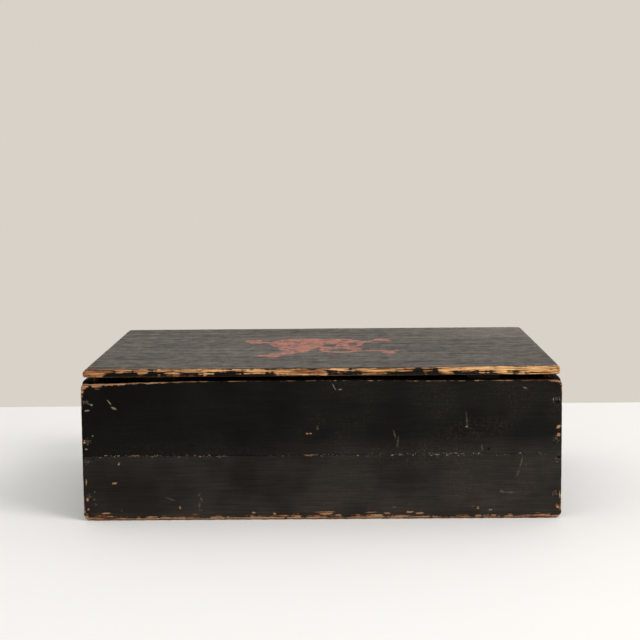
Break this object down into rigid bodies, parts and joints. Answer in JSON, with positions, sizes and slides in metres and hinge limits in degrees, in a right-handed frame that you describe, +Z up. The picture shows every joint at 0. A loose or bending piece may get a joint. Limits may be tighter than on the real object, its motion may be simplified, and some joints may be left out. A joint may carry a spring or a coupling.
{
  "type": "wooden box",
  "caption": "Low rectangular pine box, nailed from thin boards and painted black, with a flat lid on butt hinges; holds papers and keepsakes.",
  "frame": {"origin": "middle of the base, on the surface that the box stands on", "axes": "+X to the right along the long front, +Y to the back, where the hinges are, +Z up"},
  "size_m": [0.44, 0.3075, 0.1411],
  "materials": {
    "painted_pine": "old black oil paint, dull satin, worn to orange-brown pine along the edges",
    "bare_pine": "bare pine, planed, darkened with age",
    "nail_iron": "cut iron nails, heads sunk and painted over",
    "hinge_iron": "iron, blackened and lightly rusted"
  },
  "bodies": {
    "case": {"front_upper_board": "painted_pine", "front_lower_board": "painted_pine", "back_upper_board": "painted_pine", "back_lower_board": "painted_pine", "left_end_upper_board": "painted_pine", "left_end_lower_board": "painted_pine", "right_end_upper_board": "painted_pine", "right_end_lower_board": "painted_pine", "bottom_front_board": "painted_pine", "bottom_back_board": "painted_pine", "front_left_corner_nails": "nail_iron", "front_right_corner_nails": "nail_iron", "back_left_corner_nails": "nail_iron", "back_right_corner_nails": "nail_iron", "bottom_nails": "nail_iron", "left_hinge_lower_leaf": "hinge_iron", "right_hinge_lower_leaf": "hinge_iron", "left_hinge_pin": "hinge_iron", "right_hinge_pin": "hinge_iron", "lower_leaf_screws": "hinge_iron"},
    "lid": {"lid_front_board": "painted_pine", "lid_back_board": "painted_pine", "left_lid_batten": "bare_pine", "right_lid_batten": "bare_pine", "batten_nails": "nail_iron", "left_hinge_upper_leaf": "hinge_iron", "right_hinge_upper_leaf": "hinge_iron", "upper_leaf_screws": "hinge_iron"}
  },
  "joints": [
    {"name": "lid_hinge", "type": "hinge", "parent": "case", "child": "lid", "pos_m": [0, 0.1539, 0.13205], "axis": [-1, 0, 0], "range_deg": [0, 200]}
  ]
}
